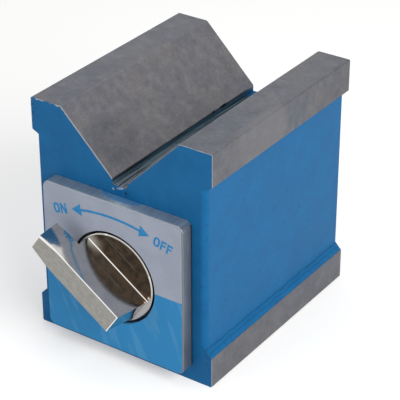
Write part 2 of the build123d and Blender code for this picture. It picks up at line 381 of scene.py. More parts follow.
def makeRagged():  # 1 within reach of an edge, with an uneven border
    group, given, out = newGroup(
        "ragged",
        [
            ("Place", "NodeSocketVector", None),
            ("Distance", "NodeSocketFloat", 1.0),
            ("Reach", "NodeSocketFloat", 0.15),
            ("Uneven", "NodeSocketFloat", 0.2),
            ("Scale", "NodeSocketFloat", 0.9),
        ],
        ["Mask"],
    )
    wave = calc(group, "SUBTRACT", noise(group, given["Place"], given["Scale"], 3.0, 0.6), 0.5)
    moved = calc(group, "ADD", given["Distance"], times(group, wave, given["Uneven"]))
    gap = calc(group, "SUBTRACT", given["Reach"], moved)
    connect(group, out, {"Mask": fade(group, gap, -0.03, 0.03)})
    return group


def makeScratches():  # thin straight lines along the first axis of the place
    group, given, out = newGroup(
        "scratches",
        [("Place", "NodeSocketVector", None), ("Amount", "NodeSocketFloat", 0.66)],
        ["Mask"],
    )
    line = noise(group, stretched(group, given["Place"], (0.07, 3.0, 3.0)), 1.0, 2.0, 0.6)
    broken = noise(group, given["Place"], 0.25, 1.0, 0.5)
    line = fade(group, line, given["Amount"], 0.72)
    connect(group, out, {"Mask": times(group, line, fade(group, broken, 0.42, 0.55))})
    return group


grinding = makeGrinding()
paintSkin = makePaintSkin()
ragged = makeRagged()
scratches = makeScratches()
print("shared effects made")


# Painted and ground iron
iron = {
    "paint": rgb(0.006, 0.116, 0.292),
    "paintDark": rgb(0.004, 0.099, 0.260),
    "pit": rgb(0.004, 0.030, 0.080),
    "pitShares": (0.14, 0.42),  # on the front and the back, on the side walls
    "wallDepth": 2.4,  # the side walls of the waist lie within this of the sides
    "steel": rgb(0.150, 0.147, 0.162),
    "steelCool": rgb(0.135, 0.138, 0.158),
    "steelWarm": rgb(0.162, 0.156, 0.163),
    "steelBright": rgb(0.200, 0.199, 0.210),
    "steelDull": rgb(0.112, 0.112, 0.126),
    "grainShares": (0.24, 0.45, 0.6),  # of the strokes, the mottle and the patches
    "landShade": rgb(0.86, 0.895, 0.935),  # painted shade: lands and sides are a little darker and cooler than the V
    "landShares": (0.65, 1.0),  # on the sides, on the lands
    "landDepth": 0.3,  # a point within this of the top is on a land
    "bareReach": 0.13,  # paint ends this far from a ground face
    "brokenEdge": 0.3,  # the broken long edges are bare too
    "footDrop": 0.2,  # no ground face lies lower than this under the V's foot
    # painted highlight on the ground faces' edges, and the bare steel where paint is worn
    "highlightAndWornSteel": rgb(0.40, 0.42, 0.45),
    "highlightReach": 0.09,  # of the painted highlight, a thin bright line where a ground face meets the front or the back
    "highlightShare": 0.7,
    "sideDepth": 3,  # the V's faces lie further in than this from the sides
    "frontSkin": (0.12, 0.02),
    "flaked": {  # on the front edge of the left land, measured from the slot, the top and the front
        "along": (15, 18), "depth": 3, "skin": (0.3, 0.1), "uneven": (0.25, 2.6),
    },
    "stains": [  # place, reach and tone of the darker patches on the ground faces
        ((22, -26, 73), (8, 26, 3), rgb(0.88, 0.93, 0.98)),
        ((30, 6, 68), (3, 8, 6), rgb(0.88, 0.94, 1.0)),
        ((30, 28, 67), (3, 14, 9), rgb(0.88, 0.88, 0.90)),
        ((-9, -28, 62), (9, 15, 9), rgb(0.80, 0.81, 0.82)),
    ],
    "rubbed": {"at": (30, -11, 68), "reach": (4, 16, 11), "share": 0.45},
    "nicks": [  # place and reach, along the slot's edge
        ((-2.5, 18.8, 55.9), (0.5, 2.6, 0.6)),
        ((-2.5, 13.6, 55.9), (0.5, 1.0, 0.5)),
    ],
    "creaseShades": [(11.55, 0.42), (10.65, 0.26), (9.5, 0.30)],  # height and share of the lines of painted shade
    "creaseReach": (0.38, 0.04),
    "creaseWave": 1.3,
    "chips": [  # x, height, half width, half height, on the front face
        (-29.3, 71.0, 0.75, 0.22), (-29.4, 68.5, 0.7, 0.22), (-10.2, 51.2, 0.6, 0.5),
        (26.5, 31.8, 0.25, 0.3), (1.9, 52.8, 0.5, 0.6),
    ],
    "chipShare": 0.8,
    "worn": [(-0.4, 53.7, 1.1, 0.5), (-2.3, 53.0, 0.4, 0.5), (0.7, 54.0, 0.6, 0.4)],  # as the chips
}
vSlot = {  # the slot at the foot of the V
    "wall": rgb(0.034, 0.098, 0.155),
    "floor": rgb(0.045, 0.105, 0.155),
    "pale": rgb(0.150, 0.195, 0.225),
    # dirt, also painted shade at the top of the slot's walls
    "dirtAndShade": rgb(0.006, 0.010, 0.014),
    "stripes": (2.1, 0.05, 2.1),
    "dirtShare": 0.85,  # in the stripes of the floor
    "wallPatches": (0, 0.13, 0),
    "wallShadeAndDirt": (-0.9, -0.45),  # from the V's foot, where dirt and painted shade darken the walls
    "dirtReach": 25,  # from the front
    "wornReach": 22,  # from the front
    "wornShare": 0.2,
    "floorSkin": (0.1, 0.3),
    "paintedEnd": 7,  # from the back
    "margin": 0.05,
}


def insideGroove(tree, here):  # how far a point lies inside the V's faces
    run = calc(tree, "SUBTRACT", here["across"], halfSlot)
    climb = calc(tree, "SUBTRACT", here["z"], grooveFoot)
    inside = times(tree, calc(tree, "SUBTRACT", run, climb), sin(pi / 4))
    below = calc(tree, "SUBTRACT", grooveFoot - iron["footDrop"], here["z"])
    return calc(tree, "MAXIMUM", inside, below)


def bareIron(tree, here, inGroove):  # where the paint stops, near the ground faces
    fromSide = calc(tree, "SUBTRACT", halfWidth, here["across"])
    fromEnd = calc(tree, "MINIMUM", calc(tree, "SUBTRACT", blockHeight, here["z"]), here["z"])
    broken = calc(tree, "SUBTRACT", calc(tree, "ADD", fromSide, fromEnd), iron["brokenEdge"])
    near = along(tree, "MINIMUM", fromSide, fromEnd, broken, *inGroove)
    f = iron["flaked"]
    flaked = times(
        tree,
        fade(tree, here["x"], -halfSlot - f["along"][0], -halfSlot - f["along"][1]),
        calc(tree, "GREATER_THAN", here["z"], blockHeight - f["depth"]),
        fadeFrom(tree, here["y"], blockFront, f["skin"]),
    )
    return use(
        tree, ragged, Place=here["place"], Distance=near, Reach=iron["bareReach"], Scale=0.8,
        Uneven=between(tree, flaked, *f["uneven"]),
    )["Mask"]


def groundSteel(tree, here, ground, colours, inGroove):
    place = here["place"]
    first, cool, warm = colours
    steel = tint(tree, fade(tree, ground["Cloud"], 0.38, 0.62), cool, warm)
    steel = tint(tree, times(tree, fade(tree, ground["Line"], 0.25, 0.75), 0.5), steel, first)
    mottle = noise(tree, stretched(tree, place, (1.0, 0.6, 1.0)), 1.3, 3.0, 0.65)
    patch = noise(tree, place, 0.28, 3.0, 0.6)
    for grain, share in zip((ground["Stroke"], mottle, patch), iron["grainShares"]):
        for full, colour in ((0.72, iron["steelBright"]), (0.28, iron["steelDull"])):
            steel = tint(tree, times(tree, fade(tree, grain, 0.5, full), share), steel, colour)

    landFoot = blockHeight - iron["landDepth"]
    offGroove = calc(tree, "GREATER_THAN", inGroove, 0.05)
    onLand = calc(tree, "GREATER_THAN", here["z"], landFoot)
    # Painted shade darkens the lands and the sides a little
    landShaded = times(tree, offGroove, between(tree, onLand, *iron["landShares"]))
    steel = tint(tree, landShaded, steel, iron["landShade"], "MULTIPLY")
    for at, reach, tone in iron["stains"]:
        steel = tint(tree, mark(tree, place, at, reach), steel, tone, "MULTIPLY")
    rubbed = mark(tree, place, iron["rubbed"]["at"], iron["rubbed"]["reach"])
    steel = tint(tree, times(tree, rubbed, iron["rubbed"]["share"]), steel, iron["steelBright"])

    # A painted highlight runs as a thin bright line along the front and back edges; it is left off the
    # V's right face
    ends = calc(tree, "SUBTRACT", -blockFront, calc(tree, "ABSOLUTE", here["y"]))
    edge = use(
        tree, ragged, Place=place, Distance=ends, Reach=iron["highlightReach"], Uneven=0.22, Scale=0.9,
    )["Mask"]
    rightFace = times(
        tree,
        calc(tree, "GREATER_THAN", here["x"], 0.0),
        calc(tree, "LESS_THAN", here["z"], landFoot),
        calc(tree, "LESS_THAN", here["across"], halfWidth - iron["sideDepth"]),
    )
    highlight = times(tree, edge, between(tree, rightFace, iron["highlightShare"], 0.0))
    return tint(tree, highlight, steel, iron["highlightAndWornSteel"])


def frontSpot(tree, here, spot):
    x, height, halfAcross, halfUp = spot
    return mark(tree, here["place"], (x, blockFront, height), (halfAcross, 1.0, halfUp))


def thickPaint(tree, here, skin):
    place = here["place"]
    paint = tint(tree, fade(tree, skin["Tone"], 0.3, 0.7), iron["paintDark"], iron["paint"])
    onSide = calc(tree, "GREATER_THAN", here["across"], halfWidth - iron["wallDepth"])
    pitted = times(tree, skin["Pit"], between(tree, onSide, *iron["pitShares"]))
    paint = tint(tree, pitted, paint, iron["pit"])
    # Painted shade: dark wavy lines run along the crease and the slope over the foot
    wave = calc(tree, "SUBTRACT", noise(tree, place, 0.22, 3.0, 0.6), 0.5)
    wavy = calc(tree, "ADD", here["z"], times(tree, wave, iron["creaseWave"]))
    for height, share in iron["creaseShades"]:
        creaseShade = fade(tree, apart(tree, wavy, height), *iron["creaseReach"])
        paint = tint(tree, times(tree, creaseShade, onSide, share), paint, iron["pit"])

    front = fadeFrom(tree, here["y"], blockFront, iron["frontSkin"])
    for spot in iron["chips"]:
        chipped = times(tree, frontSpot(tree, here, spot), front, iron["chipShare"])
        paint = tint(tree, chipped, paint, vSlot["dirtAndShade"])
    worn = along(tree, "MAXIMUM", *(frontSpot(tree, here, spot) for spot in iron["worn"]))
    worn = times(tree, worn, front, fade(tree, noise(tree, place, 2.2, 2.0), 0.42, 0.55))
    return tint(tree, worn, paint, iron["highlightAndWornSteel"])


def slotPaint(tree, here, paint):  # in streaks, with dirt and painted shade at the top of the walls, worn near the front
    place, y, z = here["place"], here["y"], here["z"]
    streak = noise(tree, stretched(tree, place, vSlot["stripes"]), 1.0, 3.0, 0.65)
    patches = noise(tree, stretched(tree, place, vSlot["wallPatches"]), 1.0, 1.0)
    # Dirt and painted shade darken the top of the walls, more towards the front
    shadeAndDirt = calc(tree, "ADD", patches, fade(tree, y, blockFront + vSlot["dirtReach"], blockFront))
    shadeAndDirt = times(tree, fade(tree, shadeAndDirt, 0.35, 0.9), fadeFrom(tree, z, grooveFoot, vSlot["wallShadeAndDirt"]))
    wall = tint(tree, fade(tree, streak, 0.40, 0.62), vSlot["wall"], vSlot["floor"])
    wall = tint(tree, shadeAndDirt, wall, vSlot["dirtAndShade"])

    floor = tint(tree, fade(tree, streak, 0.40, 0.58), vSlot["floor"], vSlot["pale"])
    worn = times(tree, fade(tree, y, blockFront + vSlot["wornReach"], blockFront), vSlot["wornShare"])
    floor = tint(tree, worn, floor, iron["steel"])
    dark = times(tree, fade(tree, streak, 0.50, 0.41), vSlot["dirtShare"])
    floor = tint(tree, dark, floor, vSlot["dirtAndShade"])

    slot = tint(tree, fadeFrom(tree, z, slotFloor, vSlot["floorSkin"]), floor, wall)
    slot = tint(tree, fade(tree, y, -blockFront - vSlot["paintedEnd"], -blockFront), slot, paint)
    inSlot = times(
        tree,
        calc(tree, "LESS_THAN", here["across"], halfSlot + vSlot["margin"]),
        calc(tree, "GREATER_THAN", z, slotFloor - 2 * vSlot["margin"]),
        calc(tree, "GREATER_THAN", y, blockFront + vSlot["margin"]),
    )
    return tint(tree, inSlot, paint, slot)


def ironMaterial(name, bareColours, groove=True):
    made, tree = newMaterial(name)
    here = whereIs(tree)
    ground = use(tree, grinding, Place=here["place"])
    skin = use(tree, paintSkin, Place=here["place"])
    inGroove = insideGroove(tree, here)
    bare = bareIron(tree, here, [inGroove] if groove else [])
    steel = groundSteel(tree, here, ground, bareColours, inGroove)
    paint = slotPaint(tree, here, thickPaint(tree, here, skin))
    colour = tint(tree, bare, paint, steel)
    for at, reach in iron["nicks"]:
        colour = tint(tree, mark(tree, here["place"], at, reach), colour, vSlot["dirtAndShade"])

    painted = calc(tree, "SUBTRACT", times(tree, skin["Peel"], 0.35), skin["Pit"])
    height = between(tree, bare, painted, times(tree, ground["Line"], 0.25))
    paintRough = between(tree, skin["Tone"], 0.38, 0.52)
    steelRough = between(tree, ground["Line"], 0.34, 0.5)
    surface(tree, {
        "Base Color": colour,
        "Metallic": times(tree, bare, 0.85),
        "Roughness": between(tree, bare, paintRough, steelRough),
        "Specular IOR Level": 0.12,
        "Normal": bumped(tree, height, 0.35, 0.06),
    })
    return made


finish = {
    "joinWithin": 0.0005,
    "flatWithin": 0.3,  # degrees
    "breakFrom": 38,  # edges sharper than this, in degrees, get a broken edge
    "creaseFrom": 35,  # and the ones sharper than this stay crisp in the shading
}


def merged(node):  # a copy of a CAD node's mesh with its points joined and its flats whole
    mesh = nodes[node].data.copy()
    for layer in ("custom_normal", "sharp_edge", "sharp_face"):
        if layer in mesh.attributes:
            mesh.attributes.remove(mesh.attributes[layer])
    shape = bmesh.new()
    shape.from_mesh(mesh)
    bmesh.ops.remove_doubles(shape, verts=shape.verts, dist=finish["joinWithin"] * mm)
    bmesh.ops.dissolve_limit(
        shape, angle_limit=radians(finish["flatWithin"]), verts=shape.verts, edges=shape.edges,
    )
    return shape


def dress(node, name, material, width, keep=None, reshape=None):  # broken edges, clean shading
    shape = merged(node)
    if reshape:
        reshape(shape)
    sharp = [
        e for e in shape.edges
        if len(e.link_faces) == 2 and e.is_convex and e.calc_face_angle() > radians(finish["breakFrom"])
        and not (keep and keep((e.verts[0].co + e.verts[1].co) / 2 / mm))
    ]
    bmesh.ops.bevel(
        shape, geom=sharp, offset=width * mm, offset_type="OFFSET", affect="EDGES",
        segments=2, profile=0.5, material=-1, clamp_overlap=True,
    )
    made = finishMesh(shape, name)
    made.data.materials.clear()
    made.data.materials.append(material)
    made.data.shade_smooth()
    made.data.set_sharp_from_angle(angle=radians(finish["creaseFrom"]))
    made.modifiers.new("flats", "WEIGHTED_NORMAL").keep_sharp = True
    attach(made, nodes[node]["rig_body"])
    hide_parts(node)
    return made


pole = {
    "edge": 0.16,
    "seamMargin": 0.1,
    "boreReach": 18,  # the bore's edges lie within this of the axis
}


def joinedEdge(p):  # edges that meet another piece flush, under one coat of paint
    bySpacer = abs(p.x) < halfSlot + pole["seamMargin"] and p.z < slotFloor + pole["seamMargin"]
    return bySpacer or hypot(p.x, p.z - axisHeight) < pole["boreReach"]


# The waist: the solids round its four upright edges alike; on the object three of them are crisp
waist = {
    "inset": 2.0,  # these three as on the solids
    "radius": 1.8,
    "rise": 2.1,
    "crispRadius": 0.35,
    "lipRise": 1.0,  # of the slope under the lip
    "slopeMargin": 0.03,
}


def crisper(shape):
    w = waist
    points = [v.co / mm for v in shape.verts]
    outer = [p.z for p in points if abs(p.x) > halfWidth - close]
    footTop = max(z for z in outer if z < blockHeight / 2)
    lipFoot = min(z for z in outer if z > blockHeight / 2)
    lean = w["rise"] / w["inset"]
    lipLean = w["lipRise"] / w["inset"]
    rounded = w["inset"] + w["radius"]  # how far in from the side the rounding ends
    for vert, p in zip(shape.verts, points):
        inside = halfWidth - abs(p.x)
        if not (footTop + close < p.z < lipFoot - close and inside < rounded + close):
            continue
        onLip = abs(p.z - (lipFoot - inside * lean)) < w["slopeMargin"]
        onFoot = abs(p.z - (footTop + inside * lean)) < w["slopeMargin"]
        depth = -blockFront - abs(p.y)
        if depth < w["radius"] + close and not (p.x > 0 and p.y < 0):
            away = Vector((rounded - inside, w["radius"] - depth)).normalized() * w["crispRadius"]
            inside = w["inset"] + w["crispRadius"] - away.x
            depth = w["crispRadius"] - away.y
        height = p.z
        if onLip:
            height = lipFoot - inside * lipLean
        elif onFoot:
            height = footTop + inside * lean
        x = (halfWidth - inside) * (1 if p.x > 0 else -1)
        y = (-blockFront - depth) * (1 if p.y > 0 else -1)
        vert.co = Vector((x, y, height)) * mm


paintedIron = ironMaterial("paintedIron", (iron["steel"], iron["steelCool"], iron["steelWarm"]))
for node, name in (("left_pole", "leftPoleFinished"), ("right_pole", "rightPoleFinished")):
    dress(node, name, paintedIron, pole["edge"], joinedEdge, crisper)
coat("upper_spacer", paintedIron)
print("poles dressed")


# Spacer, cap and the hidden metals
metals = {
    "alloy": {
        "colours": (rgb(0.40, 0.39, 0.36), rgb(0.33, 0.33, 0.33), rgb(0.44, 0.41, 0.36)),
        "rough": (0.30, 0.5),
        "metallic": 0.9,
        "pieces": ["rotor_front_cap", "rotor_rear_cap"],
    },
    "turnedSteel": {
        "colours": (rgb(0.34, 0.34, 0.35), rgb(0.27, 0.28, 0.30), rgb(0.38, 0.37, 0.35)),
        "rough": (0.25, 0.42),
        "metallic": 0.95,
        "pieces": [
            "plate_screws", "thrust_washer", "knob_screw", "stop_pin", "spindle", "left_segment",
            "right_segment", "rear_trunnion",
        ],
    },
    "bronze": {
        "colours": (rgb(0.50, 0.30, 0.13), rgb(0.40, 0.23, 0.10), rgb(0.56, 0.37, 0.18)),
        "rough": (0.28, 0.45),
        "metallic": 0.95,
        "pieces": ["front_bush", "rear_bush", "rotor_rivets"],
    },
    "ferrite": {
        "colours": (rgb(0.028, 0.028, 0.030), rgb(0.020, 0.020, 0.022), rgb(0.038, 0.036, 0.034)),
        "rough": (0.45, 0.65),
        "metallic": 0.0,
        "pieces": ["front_magnet", "rear_magnet"],
    },
}
rearCap = {"edge": 0.15}


def turnedMetal(name, values):
    made, tree = newMaterial(name)
    ground = use(tree, grinding, Place=whereIs(tree)["place"], Lines=(0.3, 4.0, 0.3), Cloud=0.2)
    first, dark, pale = values["colours"]
    colour = tint(tree, fade(tree, ground["Cloud"], 0.35, 0.65), dark, pale)
    surface(tree, {
        "Base Color": tint(tree, fade(tree, ground["Line"], 0.3, 0.7), colour, first),
        "Metallic": values["metallic"],
        "Roughness": between(tree, ground["Line"], *values["rough"]),
        "Normal": bumped(tree, ground["Line"], 0.3, 0.02),
    })
    return made


for name, values in metals.items():
    metal = turnedMetal(name, values)
    for piece in values["pieces"]:
        coat(piece, metal)
coat("lower_spacer", ironMaterial("paintedSpacer", metals["alloy"]["colours"], groove=False))
paintedCap = ironMaterial("paintedCap", metals["turnedSteel"]["colours"], groove=False)
dress("rear_cap", "rearCapFinished", paintedCap, rearCap["edge"])
print("hidden pieces finished")


# Front plate, with painted light on the outer wall of its recess, in the label's colours
label = {
    "grey": rgb(0.318, 0.348, 0.430),
    "greyDark": rgb(0.286, 0.318, 0.396),
    "blue": rgb(0.025, 0.212, 0.462),
    "bluePale": rgb(0.075, 0.275, 0.512),
    "streaks": (0.42, 1.0, 0.07),
    "streakTurn": 24,  # degrees
    "divide": 27.7,  # height of the line between grey and blue
    "divideSkin": (-0.1, 0.1),
    "ink": rgb(0.012, 0.190, 0.435),
    "inkPale": rgb(0.034, 0.222, 0.475),
    "inkThickness": 0.03,
}
plate = {
    "edge": 0.12,
    "metal": rgb(0.202, 0.233, 0.276),
    "metalPale": rgb(0.370, 0.378, 0.395),
    "metalDark": rgb(0.178, 0.206, 0.246),
    # the top's rib tones, painted paler as a lit face
    "litTopPale": rgb(0.370, 0.430, 0.475),
    "litTopDark": rgb(0.290, 0.350, 0.400),
    "topRibs": (1.9, 0.15, 0.15),
    "outerSkin": (-0.45, -0.3),  # of the top and of the sides
    "seamShadeSkin": (-0.75, -0.45),  # painted shade: the sides are dark where they meet the paint
    "seamShadeShare": 0.85,
    # painted highlight along the front edge, and a painted shadow at its right end
    "edgeHighlight": rgb(0.245, 0.258, 0.290),
    "edgeShadowRight": rgb(0.160, 0.164, 0.172),
    "edgeSkin": (0.45, 0.2),
    "rightSkin": (-1.2, -0.7),
    "smear": {"at": (0.9, blockFront - 0.3, 51.3), "reach": (9.6, 3.0, 1.6), "share": 0.85},
    # painted light on the outer wall of the recess
    "litRimBlue": rgb(0.030, 0.215, 0.465),
    "litRimRadius": 14.6,
    "litRimSkin": (0.62, 0.5),
    "inside": rgb(0.02, 0.02, 0.02),  # painted shade, deeper in the recess and along the sides' seam with the paint
    "recessShadeRadius": 16.0,
    "recessShadeSkin": (0.55, 0.8),
}


def plateMaterial(v):
    made, tree = newMaterial("plateMetal")
    here = whereIs(tree)
    place, x, y, z = here["place"], here["x"], here["y"], here["z"]
    ground = use(tree, grinding, Place=place, Lines=(0.10, 2.4, 0.10), Cloud=0.14)
    colour = tint(tree, fade(tree, ground["Cloud"], 0.3, 0.7), v["metalDark"], v["metal"])
    colour = tint(tree, fade(tree, ground["Line"], 0.55, 0.8), colour, v["metalPale"])
    # The top is ribbed, and painted paler as a face lit from above
    ribs = fade(tree, noise(tree, stretched(tree, place, v["topRibs"]), 1.0, 2.0, 0.5), 0.35, 0.65)
    onTop = fadeFrom(tree, z, plateHigh.z, v["outerSkin"])
    colour = tint(tree, onTop, colour, tint(tree, ribs, v["litTopDark"], v["litTopPale"]))
    onSide = fadeFrom(tree, here["across"], plateHigh.x, v["outerSkin"])
    # Painted shade along the sides where they meet the paint
    seamShade = times(tree, onSide, fadeFrom(tree, y, blockFront, v["seamShadeSkin"]), v["seamShadeShare"])
    colour = tint(tree, seamShade, colour, v["inside"])
    # The front edge is a painted highlight, with a painted shadow at the right
    atRight = fadeFrom(tree, x, plateHigh.x, v["rightSkin"])
    edge = tint(tree, atRight, v["edgeHighlight"], v["edgeShadowRight"])
    colour = tint(tree, fadeFrom(tree, y, plateFace, v["edgeSkin"]), colour, edge)
    # Blue paint is smeared over the middle of the top
    blotch = times(tree, noise(tree, place, 0.5, 4.0, 0.65), 0.9)
    smear = calc(tree, "ADD", mark(tree, place, v["smear"]["at"], v["smear"]["reach"]), blotch)
    smear = times(
        tree, fade(tree, smear, 0.72, 1.15), v["smear"]["share"],
        calc(tree, "GREATER_THAN", z, axisHeight),
    )
    colour = tint(tree, smear, colour, iron["paint"])
    away = radius(tree, x, z)
    # Painted light: the recess's outer wall takes the label's grey above and blue below
    litRim = times(
        tree, fadeFrom(tree, y, plateFace, v["litRimSkin"]), calc(tree, "LESS_THAN", away, v["litRimRadius"]),
    )
    upper = fadeFrom(tree, z, label["divide"], label["divideSkin"])
    colour = tint(tree, litRim, colour, tint(tree, upper, v["litRimBlue"], label["grey"]))
    # Painted shade fills the recess deeper in
    inside = times(
        tree, fadeFrom(tree, y, plateFace, v["recessShadeSkin"]),
        calc(tree, "LESS_THAN", away, v["recessShadeRadius"]),
    )
    covered = along(tree, "MAXIMUM", smear, litRim, inside)
    surface(tree, {
        "Base Color": tint(tree, inside, colour, v["inside"]),
        "Metallic": times(tree, calc(tree, "SUBTRACT", 1.0, covered), 0.8),
        "Roughness": between(tree, ground["Line"], 0.32, 0.5),
        "Normal": bumped(tree, ground["Line"], 0.3, 0.05),
    })
    return made


dress("front_plate", "frontPlateFinished", plateMaterial(plate), plate["edge"])


# Label: grey over blue, with ON, OFF and an arrow
def labelMaterial(v):
    made, tree = newMaterial("labelFilm")
    here = whereIs(tree)
    place = here["place"]
    cloud = noise(tree, place, 0.12, 3.0, 0.6)
    grain = noise(tree, place, 2.4, 2.0, 0.6)
    grey = tint(tree, fade(tree, cloud, 0.35, 0.65), v["greyDark"], v["grey"])
    slanting = stretched(tree, turnedBy(tree, place, v["streakTurn"]), v["streaks"])
    streaks = noise(tree, slanting, 1.0, 1.0, 0.4)
    blue = tint(tree, times(tree, fade(tree, streaks, 0.5, 0.62), 0.5), v["blue"], v["bluePale"])
    height = calc(tree, "ADD", here["z"], times(tree, grain, 0.06))
    surface(tree, {
        "Base Color": tint(tree, fadeFrom(tree, height, v["divide"], v["divideSkin"]), blue, grey),
        "Roughness": between(tree, cloud, 0.42, 0.6),
        "Specular IOR Level": 0.15,
        "Normal": bumped(tree, grain, 0.12, 0.02),
    })
    return made


def inkMaterial(v):
    made, tree = newMaterial("labelInk")
    cloud = noise(tree, whereIs(tree)["place"], 1.3, 3.0, 0.6)
    surface(tree, {
        "Base Color": tint(tree, fade(tree, cloud, 0.35, 0.65), v["ink"], v["inkPale"]),
        "Roughness": 0.5,
        "Specular IOR Level": 0.15,
    })
    return made


coat("label", labelMaterial(label))
labelInk = inkMaterial(label)

words = {
    "onWord": {"text": "ON", "at": (-17.45, 44.3), "turn": 13},
    "offWord": {"text": "OFF", "at": (17.33, 43.93), "turn": -15},
}
letters = {
    "height": 3.1,
    "stroke": 0.6,
    "gap": 0.32,
    "widths": {"O": 2.08, "N": 2.22, "F": 1.75},
    "steps": 32,  # round the O
    "square": 0.75,  # of the O: 1 is an ellipse, less is fuller at the corners
    "slantShare": 1.15,  # of the stroke, the N's slanting stroke measured across
    "slantDropShare": 1.9,  # of that, where the slanting stroke leaves the right stem
    "armShare": 0.88,  # of the width, the F's middle arm
    "armEdgeShares": (0.6, -0.4),  # of the stroke, the arm's upper and lower edge
}
onLabel = Matrix.Translation((0, labelFace * mm, 0)) @ Matrix.Rotation(pi / 2, 4, "X")


def ride(made):
    made.data.materials.append(labelInk)
    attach(made, "block")


def thicken(shape):  # flat ink in the drawing plane gets its thickness
    rise = bmesh.ops.extrude_face_region(shape, geom=list(shape.faces))
    top = [g for g in rise["geom"] if isinstance(g, bmesh.types.BMVert)]
    bmesh.ops.translate(shape, verts=top, vec=(0, 0, label["inkThickness"] * mm))
    bmesh.ops.recalc_face_normals(shape, faces=shape.faces)


def fuller(value):  # bends a circle's sine or cosine towards a square
    return abs(value) ** letters["square"] * (1 if value > 0 else -1)


def drawO(shape, left, width, height, stroke):
    steps = letters["steps"]
    turns = [2 * pi * i / steps for i in range(steps)]
    middle = left + width / 2
    loops = []
    for inset in (0, stroke):
        half = width / 2 - inset
        rise = height / 2 - inset
        bend = [(middle + half * fuller(cos(t)), rise * fuller(sin(t)), 0) for t in turns]
        loops.append([shape.verts.new(corner) for corner in bend])
    outer, inner = loops
    for i in range(steps):
        shape.faces.new([outer[i - 1], outer[i], inner[i], inner[i - 1]])


def drawN(shape, left, width, height, stroke):
    lean = letters["slantShare"] * stroke
    top = height / 2
    drop = letters["slantDropShare"] * lean
    inner = width - stroke
    half = [(0, -top), (0, top), (lean, top), (inner, drop - top), (inner, top)]
    outline = half + [(width - a, -b) for a, b in half]
    shape.faces.new([shape.verts.new((left + a, b, 0)) for a, b in outline])


def drawF(shape, left, width, height, stroke):
    top = height / 2
    arm = letters["armShare"] * width
    over, under = (share * stroke for share in letters["armEdgeShares"])
    outline = [
        (0, -top), (0, top), (width, top), (width, top - stroke), (stroke, top - stroke),
        (stroke, over), (arm, over), (arm, under), (stroke, under), (stroke, -top),
    ]
    shape.faces.new([shape.verts.new((left + a, b, 0)) for a, b in outline])


def printWord(name, v):
    drawers = {"O": drawO, "N": drawN, "F": drawF}
    shape = bmesh.new()
    widths = [letters["widths"][c] for c in v["text"]]
    left = -(sum(widths) + letters["gap"] * (len(widths) - 1)) / 2
    for c, width in zip(v["text"], widths):
        drawers[c](shape, left, width, letters["height"], letters["stroke"])
        left += width + letters["gap"]
    bmesh.ops.scale(shape, verts=shape.verts, vec=(mm, mm, mm))
    bmesh.ops.recalc_face_normals(shape, faces=shape.faces)
    thicken(shape)
    turn = Matrix.Rotation(radians(v["turn"]), 4, "Z")
    there = Matrix.Translation((v["at"][0] * mm, v["at"][1] * mm, 0))
    bmesh.ops.transform(shape, matrix=onLabel @ there @ turn, verts=shape.verts)
    ride(finishMesh(shape, name))


for name, values in words.items():
    printWord(name, values)

arrow = {
    "middle": (0.0, 47.0),  # highest point of the line
    "radius": 50.0,
    "ends": (-10.2, 9.7),
    "thickness": 0.72,
    "headLength": 3.3,
    "headWidth": 3.6,
    "steps": 24,
}


def printArrow(v):
    shape = bmesh.new()
    middle, top = v["middle"]
    centre = Vector((middle, top - v["radius"], 0)) * mm
    angles = [(end - middle) / v["radius"] for end in v["ends"]]

    def onArc(angle, out=0.0):
        reach = (v["radius"] + out) * mm
        return centre + Vector((sin(angle), cos(angle), 0)) * reach

    half = v["thickness"] / 2
    start = [shape.verts.new(onArc(angles[0], side)) for side in (-half, half)]
    line = shape.edges.new(start)
    bmesh.ops.spin(
        shape, geom=[line, *start], cent=centre, axis=(0, 0, -1), dvec=(0, 0, 0),
        angle=angles[1] - angles[0], steps=v["steps"], use_merge=False,
    )
    half = v["headWidth"] / 2
    for angle, side in zip(angles, (-1, 1)):
        tip = onArc(angle) + Vector((cos(angle), -sin(angle), 0)) * side * v["headLength"] * mm
        shape.faces.new([shape.verts.new(p) for p in (onArc(angle, -half), onArc(angle, half), tip)])
    bmesh.ops.recalc_face_normals(shape, faces=shape.faces)
    thicken(shape)
    bmesh.ops.transform(shape, matrix=onLabel, verts=shape.verts)
    ride(finishMesh(shape, "turnArrow"))


printArrow(arrow)
print("plate and label finished")


